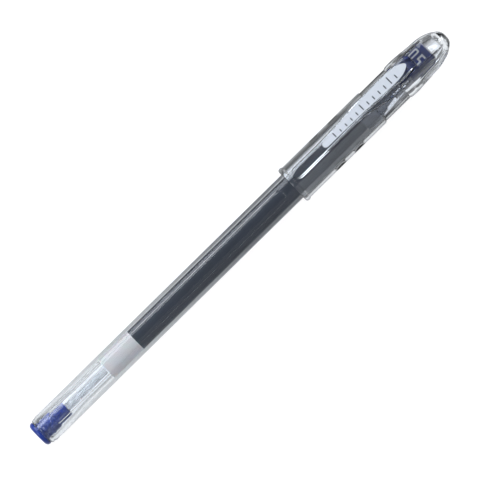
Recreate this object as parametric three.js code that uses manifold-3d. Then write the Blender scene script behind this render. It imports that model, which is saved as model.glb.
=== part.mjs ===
// Capped gel pen lying along X: tail at -X, cap at +X, clip facing +Z. All sizes in millimetres.
// Radial sizes are measured from the pen's axis, which runs at height AXIS_Z above the ground.
import * as THREE from "three";
import { mergeVertices } from "three/addons/utils/BufferGeometryUtils.js";
import Module from "manifold-3d";

const SEGMENTS = 36; // facets round the larger turned pieces, so that nested ones keep their gaps
const FINE_SEGMENTS = 24; // facets round the thin pieces
const FIT = 0.04; // radial gap of pieces pressed or glued together
const LAP = 0.05; // axial gap of faces that touch

// Barrel
const BARREL_R = 4.15;
const BORE_R = 2.1;
const BARREL_TAIL_X = -73.2;
const BARREL_NOSE_X = 47.9;
const TAIL_BORE_R = 2.7;
const TAIL_BORE_X = -68.0;
const TAPER_END_X = -59.2;
const NOSE_BORE_R = 2.6;
const NOSE_BORE_X = 42.95;
const PANEL = { x0: -69.4, x1: 15.6, halfWidth: 1.95, depth: 0.16, turn: 12 };
// Rolled edge, measured from the barrel's tail
const BEAD = [
  [0, 3.55],
  [0.35, 3.92],
  [0.85, 4.0],
  [1.1, 3.9],
  [1.45, 4.1],
  [1.8, BARREL_R],
];
const NOSE_CHAMFER = 0.3;

// Tail plug and vent tube
const PLUG_TAIL_X = -74.5;
const PLUG_FLANGE_R = 3.65;
const PLUG_CORNER = 0.95;
const PLUG_CHAMFER = 0.2;
const PLUG_CORE_R = 2.5;
const PLUG_STEP_X = -67.95;
const PLUG_END_X = -63.9;
const PLUG_POST_R = 2.2;
const PLUG_RIBS_X = [-72.2, -70.4];
const PLUG_RIB_R = TAIL_BORE_R - 0.02;
const PLUG_RIB_HALF = 0.35;
const VENT_HOLE_R = 0.4;
const VENT_R = 1.13;
const VENT_BORE_R = 0.6;
const VENT_SOCKET_X = -65.0;
const VENT_END_X = -49.9;

// Ink, follower grease
const GREASE_TAIL_X = -49.5;
const MENISCUS_X = -38.9;
const MENISCUS_DEPTH = 0.55;
const FILL_R = BORE_R - FIT;
const INK_TAPER_X = 47.0;
const INK_NECK_X = 48.3;
const INK_END_X = 48.9;

// Front section
const FLANGE_R = 3.7;
const HOLDER_NOSE_X = 56.4;
const HOLDER_STEPS = [
  [48.6, FLANGE_R],
  [48.9, 3.35],
  [50.3, 3.1],
  [50.6, 2.75],
  [54.6, 1.95],
  [54.8, 1.8],
  [56.1, 1.65],
];
const FUNNEL_X = 47.1;
const SEAT_HOLE_R = 0.6;
const SEAT_HOLE_X = 48.4;
const SEAT_X = 49.2;
const CHAMBER_X = 49.6;
const CHAMBER_R = 1.0;
const TIP_R = 1.15;
const TIP_BORE_R = 0.5;
const TIP_TAIL_X = 51.6;
const TIP_NOSE_X = 58.98;
const TIP_NOSE_R = 0.37;
const TIP_CONE = [[57.55, TIP_R], [57.7, 1.02], [58.75, 0.48]];
const SOCKET = [[TIP_NOSE_X, 0.285], [58.6, 0.285], [58.6, 0.15], [58.1, 0.15], [57.7, TIP_BORE_R]];
const CHECK_BALL_R = 0.8;
const CHECK_BALL_X = 49.85;
const WRITING_BALL_R = 0.25;
const WRITING_BALL_X = 58.88;

// Cap
const RING_R = 5.63;
const MOUTH_X = 18.45;
const RING_X = 19.96;
const CAP_R = 5.35;
const CAP_BORE_R = 4.34;
const CAP_STEP_X = 47.9;
const CAP_NECK_R = 5.06;
const TUBE_END_X = 56.7;
const DIMPLES_X = [31.3, 38.05];
const DIMPLE_HALF_LENGTH = 1.9;
const DIMPLE_DEPTH = 0.45;
const MOUTH_EDGE = [[0, 5.2], [0.25, 5.5], [0.6, RING_R]]; // from the mouth
const RING_EDGE = [[-0.5, RING_R], [-0.15, 5.5], [0, CAP_R]]; // from the ring's end
const MOUTH_FUNNEL = 0.35;
const STEP_CHAMFER = 0.2;

// Inner sleeve of the cap
const SLEEVE_TAIL_X = 48.0;
const SLEEVE_R = CAP_BORE_R - FIT;
const SLEEVE_STEP_X = 54.4;
const SLEEVE_BODY_R = 3.62;
const SLEEVE_NOSE_R = 1.9;
const SLEEVE_NOSE_X = 59.95;
const SLEEVE_CHAMFER = 0.2;
const SLEEVE_SHOULDER = [[56.5, SLEEVE_BODY_R], [57.4, SLEEVE_NOSE_R]];
const SLEEVE_INSIDE = [
  [59.5, 1.2],
  [59.3, 1.35],
  [57.2, 1.35],
  [56.3, 3.1],
  [48.3, 3.9],
  [SLEEVE_TAIL_X, 4.05],
];

// Crown
const CROWN_SEGMENTS = 80;
const FLUTES = 20;
const FLUTE_DEPTH = 0.24;
const FLUTE_X0 = 61.0;
const FLUTE_X1 = 73.0;
const FLUTE_TOP_X0 = 67.0; // beside the ridge they start further on
const FLUTE_TOP_ANGLE = THREE.MathUtils.degToRad(50);
const FLUTE_START = 2.0;
const FLUTE_END = 1.5;
const SPIGOT_X = 54.6;
const SPIGOT_ROOT_X = 58.0;
const CROWN_X = TUBE_END_X + LAP;
const CROWN_TIP_X = 74.5;
const DOME = [
  [CROWN_X, 5.08],
  [57.3, 5.3],
  [59.5, 5.38],
  [FLUTE_X0, 5.3],
  [62.5, 5.16],
  [65.0, 4.92],
  [67.5, 4.78],
  [69.0, 4.58],
  [70.3, 4.24],
  [71.5, 3.8],
  [72.7, 3.18],
  [73.5, 2.6],
  [74.1, 1.95],
  [74.4, 1.35],
  [CROWN_TIP_X, 0.8],
];
const CAVITY = [[58.5, 3.78], [60.0, 4.1], [66.0, 4.0], [68.5, 3.6], [70.6, 2.7], [72.3, 1.5]];
const RIDGE_HALF = 2.5;
const RIDGE_TOP = 5.5;
const RIDGE_FOOT = 3.0;
const RIDGE_EDGE = 0.3;
const RIDGE_NOSE = [[68.4, RIDGE_TOP], [69.6, 5.3], [70.8, 4.7], [71.6, 3.9], [71.6, RIDGE_FOOT]];
const FOOT_X = 57.6;
const FOOT_BASE = 5.0;
const FOOT_TOP = 6.2;
const FOOT_HALF = 1.95;
const STOP_X = 62.1;
const STOP = [
  [STOP_X, 7.4],
  [62.5, 7.3],
  [63.1, 6.7],
  [63.5, 6.0],
  [63.7, 5.3],
  [63.7, FOOT_BASE],
  [STOP_X, FOOT_BASE],
];

// Insert of the crown: half its width at each height, and its lug
const INSERT_X0 = 60.2;
const INSERT_X1 = 68.3;
const INSERT_TOP = 4.65;
const INSERT_BOTTOM = -1.8;
const INSERT_HALF = 2.75;
const INSERT_SECTION = [
  [INSERT_TOP, 2.0],
  [3.6, 2.25],
  [0.8, INSERT_HALF],
  [-1.0, INSERT_HALF],
  [INSERT_BOTTOM, 2.2],
];
const INSERT_NOSE = [[INSERT_X1, 2.6], [67.7, 0.8], [66.5, -1.0], [65.7, INSERT_BOTTOM]];
const TONGUE_X = 57.0;
const TONGUE_ROOT_X = 58.2;
const TONGUE_BOTTOM = 3.7;
const LUG = { tipX: 57.6, rootX: 61.5, inner: 2.45, outer: 3.3, low: 0.2, high: 1.7, taper: 0.55 };
const POCKET_GAP = 0.1;

// Figures on the insert
const FIGURE_HEIGHT = 3.4;
const FIGURE_STROKE = 0.52;
const FIGURE_WIDTH = 1.5;
const FIGURE_PITCH = 1.17;
const FIVE_MIDDLE = 1.4; // height of its middle bar's underside
const FIGURE_DEPTH = 0.16;
const FIGURE_RISE = 0.04;
const FIGURE_GAP = 0.02;
const FIGURE_X0 = 63.2;
const FIGURE_CORNER = 0.3;
const FIGURE_HOLE_CORNER = 0.1;

// Clip
const CLIP_TIP_X = 20.3;
const CLIP_END_X = 62.0;
const CLIP_GAP = 0.1;
const CLIP_EDGE = 0.25;
const CLIP_NOSE = 1.9; // length of the rounded free end
const CLIP_FLARE = 0.3;
const CLIP_LEAN = 0.36; // how far the skirts lean out for each mm they hang down
const SKIRT_X0 = 41.0;
const SKIRT_X1 = 56.7;
const SKIRT_WALL = 0.375;
const SKIRT_LOW = 2.5; // deeper than the skirts reach
const LABEL_X0 = 31.3;
const LABEL_X1 = 61.6;
const LABEL_DEPTH = 0.16;
const LABEL_RISE = 0.06;
const LABEL_ROUND = 0.95;
const LABEL_POINT = 2.6;
const LABEL_GAP = 0.03;

const AXIS_Z = RING_R; // the cap's ring is the lowest thing, so it touches the ground

const wasm = await Module();
wasm.setup();

// ---------- helpers ----------

function solidOf(geometry) {
  const bare = geometry.index ? geometry.toNonIndexed() : geometry.clone();
  bare.deleteAttribute("normal");
  bare.deleteAttribute("uv");
  const merged = mergeVertices(bare, 1e-4);
  return new wasm.Manifold(
    new wasm.Mesh({
      numProp: 3,
      vertProperties: new Float32Array(merged.attributes.position.array),
      triVerts: new Uint32Array(merged.index.array),
    }),
  );
}

function geometryOf(solid) {
  const mesh = solid.getMesh();
  const geometry = new THREE.BufferGeometry();
  geometry.setAttribute("position", new THREE.BufferAttribute(mesh.vertProperties.slice(), 3));
  geometry.setIndex(new THREE.BufferAttribute(mesh.triVerts.slice(), 1));
  const flat = geometry.toNonIndexed();
  flat.computeVertexNormals();
  return flat;
}

// A turned piece about the pen's axis. points are [x, radius], tail to nose along the outside.
function turned(points, segments = SEGMENTS) {
  const outline = points.map(([x, r]) => new THREE.Vector2(r, x));
  return new THREE.LatheGeometry(outline, segments).rotateZ(-Math.PI / 2);
}

// A turned piece with a hole along the axis.
function ring(points, segments = SEGMENTS) {
  return turned([...points, points[0]], segments);
}

// A turned piece that is solid at both ends.
function plug(points, segments = SEGMENTS) {
  const first = points[0];
  const last = points[points.length - 1];
  return turned([[first[0], 0], ...points, [last[0], 0]], segments);
}

// Points of an arc about a centre, between two angles in degrees.
function arc(cx, cr, radius, from, to, steps) {
  return Array.from({ length: steps + 1 }, (_, i) => {
    const a = THREE.MathUtils.degToRad(from + ((to - from) * i) / steps);
    return [cx + radius * Math.cos(a), cr + radius * Math.sin(a)];
  });
}

// A ball on the axis, turned so that its facets line up with the pieces around it.
function ball(x, radius, steps) {
  const half = arc(x, 0, radius, 180, 0, steps);
  half[0][1] = 0;
  half[steps][1] = 0;
  return turned(half, FINE_SEGMENTS);
}

function block(x0, x1, y0, y1, z0, z1) {
  return new THREE.BoxGeometry(x1 - x0, y1 - y0, z1 - z0).translate(
    (x0 + x1) / 2,
    (y0 + y1) / 2,
    (z0 + z1) / 2,
  );
}

// A plate whose outline lies in the X-Z plane, reaching half to each side of the pen's middle.
function sidePlate(outline, half, bevel = 0) {
  const shape = new THREE.Shape(outline.map(([x, z]) => new THREE.Vector2(x, z)));
  return new THREE.ExtrudeGeometry(shape, {
    depth: 2 * (half - bevel),
    bevelEnabled: bevel > 0,
    bevelThickness: bevel,
    bevelSize: bevel,
    bevelOffset: -bevel,
    bevelSegments: 1,
    steps: 1,
  })
    .translate(0, 0, -(half - bevel))
    .rotateX(Math.PI / 2);
}

// A plate whose outline lies in the X-Y plane, between two heights.
function flatPlate(outline, z0, z1, holes = []) {
  const shape = new THREE.Shape(outline.map(([x, y]) => new THREE.Vector2(x, y)));
  shape.holes = holes.map((hole) => new THREE.Path(hole.map(([x, y]) => new THREE.Vector2(x, y))));
  return new THREE.ExtrudeGeometry(shape, { depth: z1 - z0, bevelEnabled: false }).translate(0, 0, z0);
}

// A closed skin through outlines of equal length, each a list of [x, y, z].
function skin(sections) {
  const count = sections[0].length;
  const at = (i, j) => sections[i][j % count];
  const triangles = [];
  for (let i = 0; i + 1 < sections.length; i++)
    for (let j = 0; j < count; j++) {
      triangles.push(at(i, j), at(i + 1, j), at(i, j + 1));
      triangles.push(at(i, j + 1), at(i + 1, j), at(i + 1, j + 1));
    }
  const last = sections.length - 1;
  for (let j = 1; j + 1 < count; j++) {
    triangles.push(at(0, 0), at(0, j), at(0, j + 1));
    triangles.push(at(last, 0), at(last, j + 1), at(last, j));
  }
  const geometry = new THREE.BufferGeometry();
  geometry.setAttribute("position", new THREE.Float32BufferAttribute(triangles.flat(), 3));
  return geometry;
}

// A smooth value through [x, value] pairs.
function through(pairs) {
  const curve = pairs.map(([x, v]) => ({ x, v }));
  return (x) => {
    if (x <= curve[0].x) return curve[0].v;
    const i = curve.findIndex((p) => p.x >= x);
    if (i < 0) return curve[curve.length - 1].v;
    const a = curve[i - 1];
    const b = curve[i];
    const before = curve[i - 2] ?? a;
    const after = curve[i + 1] ?? b;
    const span = b.x - a.x;
    const slopeA = before === a ? (b.v - a.v) / span : (b.v - before.v) / (b.x - before.x);
    const slopeB = after === b ? (b.v - a.v) / span : (after.v - a.v) / (after.x - a.x);
    const t = (x - a.x) / span;
    return (
      a.v * (1 - t) * (1 - t) * (1 + 2 * t) +
      b.v * t * t * (3 - 2 * t) +
      slopeA * span * t * (1 - t) * (1 - t) -
      slopeB * span * t * t * (1 - t)
    );
  };
}

function spread(x0, x1, count) {
  return Array.from({ length: count + 1 }, (_, i) => x0 + ((x1 - x0) * i) / count);
}

function clamp01(value) {
  return Math.min(1, Math.max(0, value));
}

// ---------- pen body ----------

function roundedSlot(x0, x1, half, steps) {
  const nose = arc(x1 - half, 0, half, 90, -90, steps);
  const tail = arc(x0 + half, 0, half, -90, -270, steps);
  return [...nose, ...tail].reverse();
}

function panelCutter() {
  const { x0, x1, halfWidth, depth, turn } = PANEL;
  const plate = flatPlate(roundedSlot(x0, x1, halfWidth, 5), BARREL_R / 2, BARREL_R * 1.5);
  plate.rotateX(THREE.MathUtils.degToRad(turn));
  const floorR = BARREL_R - depth;
  const core = plug([[x0 - 1, floorR], [x1 + 1, floorR]]);
  return solidOf(plate).subtract(solidOf(core));
}

function barrel() {
  const tube = ring([
    ...BEAD.map(([x, r]) => [BARREL_TAIL_X + x, r]),
    [BARREL_NOSE_X - NOSE_CHAMFER, BARREL_R],
    [BARREL_NOSE_X, BARREL_R - NOSE_CHAMFER],
    [BARREL_NOSE_X, NOSE_BORE_R],
    [NOSE_BORE_X, NOSE_BORE_R],
    [NOSE_BORE_X, BORE_R],
    [TAPER_END_X, BORE_R],
    [TAIL_BORE_X, TAIL_BORE_R],
    [BARREL_TAIL_X, TAIL_BORE_R],
  ]);
  return geometryOf(solidOf(tube).subtract(panelCutter()));
}

function tailPlug() {
  const faceX = BARREL_TAIL_X - LAP;
  const ribs = PLUG_RIBS_X.flatMap((x) => [
    [x - PLUG_RIB_HALF, PLUG_CORE_R],
    [x, PLUG_RIB_R],
    [x + PLUG_RIB_HALF, PLUG_CORE_R],
  ]);
  return ring([
    [PLUG_TAIL_X, VENT_HOLE_R],
    ...arc(PLUG_TAIL_X + PLUG_CORNER, PLUG_FLANGE_R - PLUG_CORNER, PLUG_CORNER, 180, 90, 3),
    [faceX, PLUG_FLANGE_R],
    [faceX, PLUG_CORE_R],
    ...ribs,
    [PLUG_STEP_X - PLUG_CHAMFER, PLUG_CORE_R],
    [PLUG_STEP_X, PLUG_CORE_R - PLUG_CHAMFER],
    [PLUG_STEP_X, PLUG_POST_R],
    [PLUG_END_X - PLUG_CHAMFER, PLUG_POST_R],
    [PLUG_END_X, PLUG_POST_R - PLUG_CHAMFER],
    [PLUG_END_X, VENT_R + FIT],
    [VENT_SOCKET_X, VENT_R + FIT],
    [VENT_SOCKET_X, VENT_HOLE_R],
  ]);
}

function ventTube() {
  const outline = [
    [VENT_SOCKET_X + LAP, VENT_R],
    [VENT_END_X, VENT_R],
    [VENT_END_X, VENT_BORE_R],
    [VENT_SOCKET_X + LAP, VENT_BORE_R],
  ];
  return ring(outline, FINE_SEGMENTS);
}

// The boundary between grease and ink, from the bore's wall to the axis, bulging towards the tail.
function meniscus(shift) {
  return spread(0, 1, 3).map((t) => [
    MENISCUS_X + shift - MENISCUS_DEPTH * t * (2 - t),
    FILL_R * (1 - t),
  ]);
}

function followerGrease() {
  return turned([
    [GREASE_TAIL_X + 0.3, 0],
    [GREASE_TAIL_X + 0.2, FILL_R * 0.5],
    [GREASE_TAIL_X, FILL_R],
    ...meniscus(-LAP),
  ]);
}

function inkColumn() {
  const neckR = SEAT_HOLE_R - LAP;
  return turned([
    ...meniscus(LAP).reverse(),
    [INK_TAPER_X, FILL_R],
    [INK_NECK_X, neckR],
    [INK_END_X, neckR],
    [INK_END_X, 0],
  ]);
}

// ---------- front section ----------

function nibHolder() {
  const stemX = NOSE_BORE_X + LAP;
  const flangeX = BARREL_NOSE_X + LAP;
  const stemR = NOSE_BORE_R - FIT;
  const socketR = TIP_R + FIT;
  return ring([
    [stemX, stemR],
    [flangeX, stemR],
    [flangeX, FLANGE_R],
    ...HOLDER_STEPS,
    [HOLDER_NOSE_X, 1.45],
    [HOLDER_NOSE_X, socketR],
    [TIP_TAIL_X - LAP, socketR],
    [TIP_TAIL_X - LAP, CHAMBER_R],
    [CHAMBER_X, CHAMBER_R],
    [SEAT_X, SEAT_HOLE_R],
    [SEAT_HOLE_X, SEAT_HOLE_R],
    [FUNNEL_X, BORE_R],
    [stemX, BORE_R],
  ]);
}

function tipBody() {
  const outside = [[TIP_TAIL_X, TIP_R], ...TIP_CONE, [TIP_NOSE_X, TIP_NOSE_R]];
  return ring([...outside, ...SOCKET, [TIP_TAIL_X, TIP_BORE_R]], FINE_SEGMENTS);
}

// ---------- cap ----------

function dimples() {
  const radius = (DIMPLE_HALF_LENGTH ** 2 + DIMPLE_DEPTH ** 2) / (2 * DIMPLE_DEPTH);
  const reach = CAP_R - DIMPLE_DEPTH + radius;
  const cutter = (x, side) => new THREE.SphereGeometry(radius, 28, 20).translate(x, side * reach, 0);
  const cutters = DIMPLES_X.flatMap((x) => [-1, 1].map((side) => solidOf(cutter(x, side))));
  return cutters.reduce((a, b) => a.add(b));
}

function capTube() {
  const tube = ring([
    ...MOUTH_EDGE.map(([x, r]) => [MOUTH_X + x, r]),
    ...RING_EDGE.map(([x, r]) => [RING_X + x, r]),
    [CAP_STEP_X - STEP_CHAMFER, CAP_R],
    [CAP_STEP_X, CAP_NECK_R],
    [TUBE_END_X, CAP_NECK_R],
    [TUBE_END_X, CAP_BORE_R],
    [MOUTH_X + MOUTH_FUNNEL, CAP_BORE_R],
    [MOUTH_X, CAP_BORE_R + MOUTH_FUNNEL],
  ]);
  return geometryOf(solidOf(tube).subtract(dimples()));
}

function innerSleeve() {
  return turned([
    [SLEEVE_INSIDE[0][0], 0],
    ...SLEEVE_INSIDE,
    [SLEEVE_TAIL_X, SLEEVE_R],
    [SLEEVE_STEP_X, SLEEVE_R],
    [SLEEVE_STEP_X, SLEEVE_BODY_R],
    ...SLEEVE_SHOULDER,
    [SLEEVE_NOSE_X - SLEEVE_CHAMFER, SLEEVE_NOSE_R],
    [SLEEVE_NOSE_X, SLEEVE_NOSE_R - SLEEVE_CHAMFER],
    [SLEEVE_NOSE_X, 0],
  ]);
}

// Lengthwise flutes on the dome: every vertex of the outside moves in by a wave round the axis.
function fluted(geometry) {
  const position = geometry.attributes.position;
  for (let i = 0; i < position.count; i++) {
    const [x, y, z] = [position.getX(i), position.getY(i), position.getZ(i)];
    const angle = Math.atan2(y, z);
    const start = Math.abs(angle) < FLUTE_TOP_ANGLE ? FLUTE_TOP_X0 : FLUTE_X0;
    const fade = clamp01((x - start) / FLUTE_START) * clamp01((FLUTE_X1 - x) / FLUTE_END);
    const wave = 0.5 - 0.5 * Math.cos(FLUTES * angle);
    const inward = 1 - (FLUTE_DEPTH * fade * wave) / CAP_NECK_R;
    position.setY(i, y * inward);
    position.setZ(i, z * inward);
  }
  return geometry;
}

function capCrown() {
  const dome = fluted(plug(DOME, CROWN_SEGMENTS));
  const ridgeOutline = [[CROWN_X, RIDGE_FOOT], [CROWN_X, 5.05], [57.4, RIDGE_TOP], ...RIDGE_NOSE];
  const added = [
    sidePlate(ridgeOutline, RIDGE_HALF, RIDGE_EDGE),
    block(FOOT_X, STOP_X + 0.5, -FOOT_HALF, FOOT_HALF, FOOT_BASE, FOOT_TOP),
    sidePlate(STOP, FOOT_HALF),
    plug([[SPIGOT_X, CAP_BORE_R - FIT], [SPIGOT_ROOT_X, CAP_BORE_R - FIT]]),
  ];
  const openX = SPIGOT_X - 1;
  const removed = [
    plug([[openX, CAVITY[0][1]], ...CAVITY]),
    insertPrism(openX, INSERT_X1 + POCKET_GAP, POCKET_GAP),
  ];
  const whole = added.reduce((sum, piece) => sum.add(solidOf(piece)), solidOf(dome));
  return geometryOf(removed.reduce((rest, piece) => rest.subtract(solidOf(piece)), whole));
}

// ---------- insert and figures ----------

// The insert's section drawn out along x, grown by a gap on every side.
function insertPrism(x0, x1, gap = 0) {
  const middle = (INSERT_TOP + INSERT_BOTTOM) / 2;
  const flank = INSERT_SECTION.map(([z, half]) => [z + gap * Math.sign(z - middle), half + gap]);
  const left = flank.map(([z, half]) => [-half, z]).reverse();
  const right = flank.map(([z, half]) => [half, z]);
  return skin([x0, x1].map((x) => [...left, ...right].map(([y, z]) => [x, y, z])));
}

// The key on the insert's +Y side, which narrows towards the pen's tail.
function insertLug() {
  const { tipX, rootX, inner, outer, low, high, taper } = LUG;
  const section = (x, trim) => [
    [x, inner, low + trim],
    [x, inner, high - trim],
    [x, outer, high - trim],
    [x, outer, low + trim],
  ];
  return skin([section(tipX, taper), section(rootX, 0)]);
}

function figureCentre(place) {
  return (1 - place) * FIGURE_PITCH;
}

// Outlines of the figures, with x towards the cap's end and y across, read with the cap up.
function zeroOutline(grow) {
  const y = figureCentre(0);
  const half = FIGURE_WIDTH / 2;
  const outer = corners(FIGURE_X0, FIGURE_X0 + FIGURE_HEIGHT, y - half, y + half, FIGURE_CORNER, grow);
  const inner = corners(
    FIGURE_X0 + FIGURE_STROKE,
    FIGURE_X0 + FIGURE_HEIGHT - FIGURE_STROKE,
    y - half + FIGURE_STROKE * 0.8,
    y + half - FIGURE_STROKE * 0.8,
    FIGURE_HOLE_CORNER,
    -grow,
  );
  return { outer, inner };
}

// A rectangle with its corners cut off.
function corners(x0, x1, y0, y1, cut, grow) {
  const [a, b, c, d] = [x0 - grow, x1 + grow, y0 - grow, y1 + grow];
  return [
    [a + cut, c],
    [b - cut, c],
    [b, c + cut],
    [b, d - cut],
    [b - cut, d],
    [a + cut, d],
    [a, d - cut],
    [a, c + cut],
  ];
}

function fiveOutline(grow) {
  const left = figureCentre(2) + FIGURE_WIDTH / 2 + grow;
  const right = figureCentre(2) - FIGURE_WIDTH / 2 - grow;
  const stroke = FIGURE_STROKE + 2 * grow;
  const low = FIGURE_X0 - grow;
  const high = FIGURE_X0 + FIGURE_HEIGHT + grow;
  const middle = FIGURE_X0 + FIVE_MIDDLE - grow;
  const cut = FIGURE_CORNER;
  return [
    [high, left],
    [high, right],
    [high - stroke, right],
    [high - stroke, left - stroke],
    [middle + stroke, left - stroke],
    [middle + stroke, right + cut],
    [middle + stroke - cut, right],
    [low + cut, right],
    [low, right + cut],
    [low, left],
    [low + stroke, left],
    [low + stroke, right + stroke],
    [middle, right + stroke],
    [middle, left],
  ];
}

function pointOutline(grow) {
  const y = figureCentre(1);
  const half = FIGURE_STROKE * 0.5;
  return corners(FIGURE_X0, FIGURE_X0 + 2 * half, y - half, y + half, FIGURE_HOLE_CORNER, grow);
}

const FIGURE_Z0 = INSERT_TOP - FIGURE_DEPTH;
const FIGURE_Z1 = INSERT_TOP + FIGURE_RISE;

function digitZero(grow = 0, drop = 0) {
  const { outer, inner } = zeroOutline(grow);
  return flatPlate(outer, FIGURE_Z0 - drop, FIGURE_Z1 + drop, [inner.slice().reverse()]);
}

function digitFive(grow = 0, drop = 0) {
  return flatPlate(fiveOutline(grow), FIGURE_Z0 - drop, FIGURE_Z1 + drop);
}

function decimalPoint(grow = 0, drop = 0) {
  return flatPlate(pointOutline(grow), FIGURE_Z0 - drop, FIGURE_Z1 + drop);
}

function crownInsert() {
  const outline = [
    [INSERT_X0, INSERT_BOTTOM],
    [INSERT_X0, TONGUE_BOTTOM],
    [TONGUE_ROOT_X, TONGUE_BOTTOM],
    [TONGUE_X, INSERT_TOP - 0.3],
    [TONGUE_X, INSERT_TOP],
    [INSERT_X1, INSERT_TOP],
    ...INSERT_NOSE,
  ];
  const side = solidOf(sidePlate(outline, INSERT_HALF + 1));
  const body = side.intersect(solidOf(insertPrism(TONGUE_X, INSERT_X1)));
  const figures = [digitZero, digitFive, decimalPoint];
  const recesses = figures.map((figure) => figure(FIGURE_GAP, FIGURE_GAP));
  const whole = body.add(solidOf(insertLug()));
  return geometryOf(recesses.reduce((rest, recess) => rest.subtract(solidOf(recess)), whole));
}

// ---------- clip ----------

const clipTop = through([
  [CLIP_TIP_X, 5.95],
  [22.5, 6.3],
  [27, 6.32],
  [31.3, 6.4],
  [36.2, 7.0],
  [45.4, 7.9],
  [54, 7.75],
  [CLIP_END_X, 7.5],
]);
const clipUnder = through([
  [CLIP_TIP_X, 5.6],
  [22.5, 5.44],
  [27, 5.44],
  [31.3, 5.55],
  [36.2, 6.0],
  [45.4, 6.75],
  [54, 6.5],
  [CLIP_END_X, FOOT_TOP + CLIP_GAP],
]);
const clipHalf = through([
  [CLIP_TIP_X, 1.55],
  [31.3, 1.5],
  [40, 1.65],
  [50, 1.95],
  [57, 2.15],
  [CLIP_END_X, 2.1],
]);
const skirtDrop = through([
  [SKIRT_X0, 0],
  [46, 0.7],
  [51, 2.0],
  [54.5, 2.35],
  [56.6, 2.2],
]);
const labelHalf = through([
  [LABEL_X0, 0.95],
  [36.2, 1.15],
  [45.4, 1.5],
  [54, 1.8],
  [57, 1.82],
  [59, 1.6],
]);

// The clip's outline across at x: a flat top with bevelled edges, and sides that lean out.
function clipSection(x) {
  const tip = clamp01((x - CLIP_TIP_X) / CLIP_NOSE);
  const round = Math.sqrt(Math.max(0.04, 1 - (1 - tip) ** 2));
  const half = clipHalf(x) * round;
  const top = clipTop(x);
  const drop = x > SKIRT_X0 && x < SKIRT_X1 ? skirtDrop(x) : 0;
  const under = clipUnder(x) - drop;
  const lean = (CLIP_FLARE + drop * CLIP_LEAN) * round;
  return [
    [x, -half - lean, under],
    [x, -half, top - CLIP_EDGE],
    [x, -half + CLIP_EDGE, top],
    [x, half - CLIP_EDGE, top],
    [x, half, top - CLIP_EDGE],
    [x, half + lean, under],
  ];
}

// The hollow under the clip between its two side skirts.
function skirtHollow() {
  return skin(
    spread(SKIRT_X0 + 1.5, SKIRT_X1 + 0.2, 8).map((x) => {
      const half = clipHalf(x) - SKIRT_WALL;
      const roof = clipUnder(x);
      const lean = CLIP_LEAN * (roof - SKIRT_LOW) - SKIRT_WALL / 2;
      return [
        [x, -half - lean, SKIRT_LOW],
        [x, -half, roof],
        [x, half, roof],
        [x, half + lean, SKIRT_LOW],
      ];
    }),
  );
}

function clip() {
  const tipStations = [0, 0.25, 0.7, 1.3, CLIP_NOSE].map((d) => CLIP_TIP_X + d);
  const bodyStations = [
    ...spread(CLIP_TIP_X + 2 * CLIP_NOSE, SKIRT_X0 - 0.5, 5),
    ...spread(SKIRT_X0 + 1.5, SKIRT_X1 - 0.1, 7),
  ];
  const rootStations = [SKIRT_X1 + 0.05, 59.4, CLIP_END_X];
  const beam = skin([...tipStations, ...bodyStations, ...rootStations].map(clipSection));
  const overCap = CAP_R + CLIP_GAP * 0.7;
  const overNeck = CAP_NECK_R + 0.15;
  const overCrown = RIDGE_TOP + CLIP_GAP;
  const clearance = plug([
    [MOUTH_X, overCap],
    [CAP_STEP_X, overCap],
    [CAP_STEP_X, overNeck],
    [TUBE_END_X - 0.2, overNeck],
    [TUBE_END_X + 0.5, overCrown],
    [CLIP_END_X + 2, overCrown],
  ]);
  const removed = [skirtHollow(), clearance, label(LABEL_GAP, LABEL_GAP)];
  return geometryOf(removed.reduce((rest, piece) => rest.subtract(solidOf(piece)), solidOf(beam)));
}

// The printed field let into the clip's top: round at the free end, pointed at the root.
function label(grow = 0, drop = 0) {
  const start = LABEL_X0 - grow;
  const end = LABEL_X1 + grow;
  const point = LABEL_X1 - LABEL_POINT;
  const roundTail = [0, 0.18, 0.5, LABEL_ROUND].map((d) => start + d);
  const nose = [0, 0.9, 1.7, 2.3].map((d) => point + d);
  const stations = [...roundTail, ...spread(33.5, point - 1.6, 9), ...nose, end];
  return skin(
    stations.map((x) => {
      const tail = clamp01((x - start) / LABEL_ROUND);
      const front = clamp01((end - x) / (end - point));
      const narrowing = Math.sqrt(Math.max(0.02, 1 - (1 - tail) ** 2) * Math.max(0.004, front));
      const y = labelHalf(x) * narrowing + grow;
      const top = clipTop(x) + LABEL_RISE + 10 * drop;
      const low = clipTop(x) - LABEL_DEPTH - drop;
      return [
        [x, -y, low],
        [x, -y, top],
        [x, y, top],
        [x, y, low],
      ];
    }),
  );
}

// ---------- assembly ----------

const CLEAR = { color: 0xeef2f4, roughness: 0.08, metalness: 0 };
const MILKY = { color: 0xd5dde4, roughness: 0.3, metalness: 0 };
const BLUE = { color: 0x1d3a86, roughness: 0.35, metalness: 0 };
const WHITE = { color: 0xf2f4f8, roughness: 0.4, metalness: 0 };
const STEEL = { color: 0xb9bcc0, roughness: 0.25, metalness: 1 };

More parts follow.
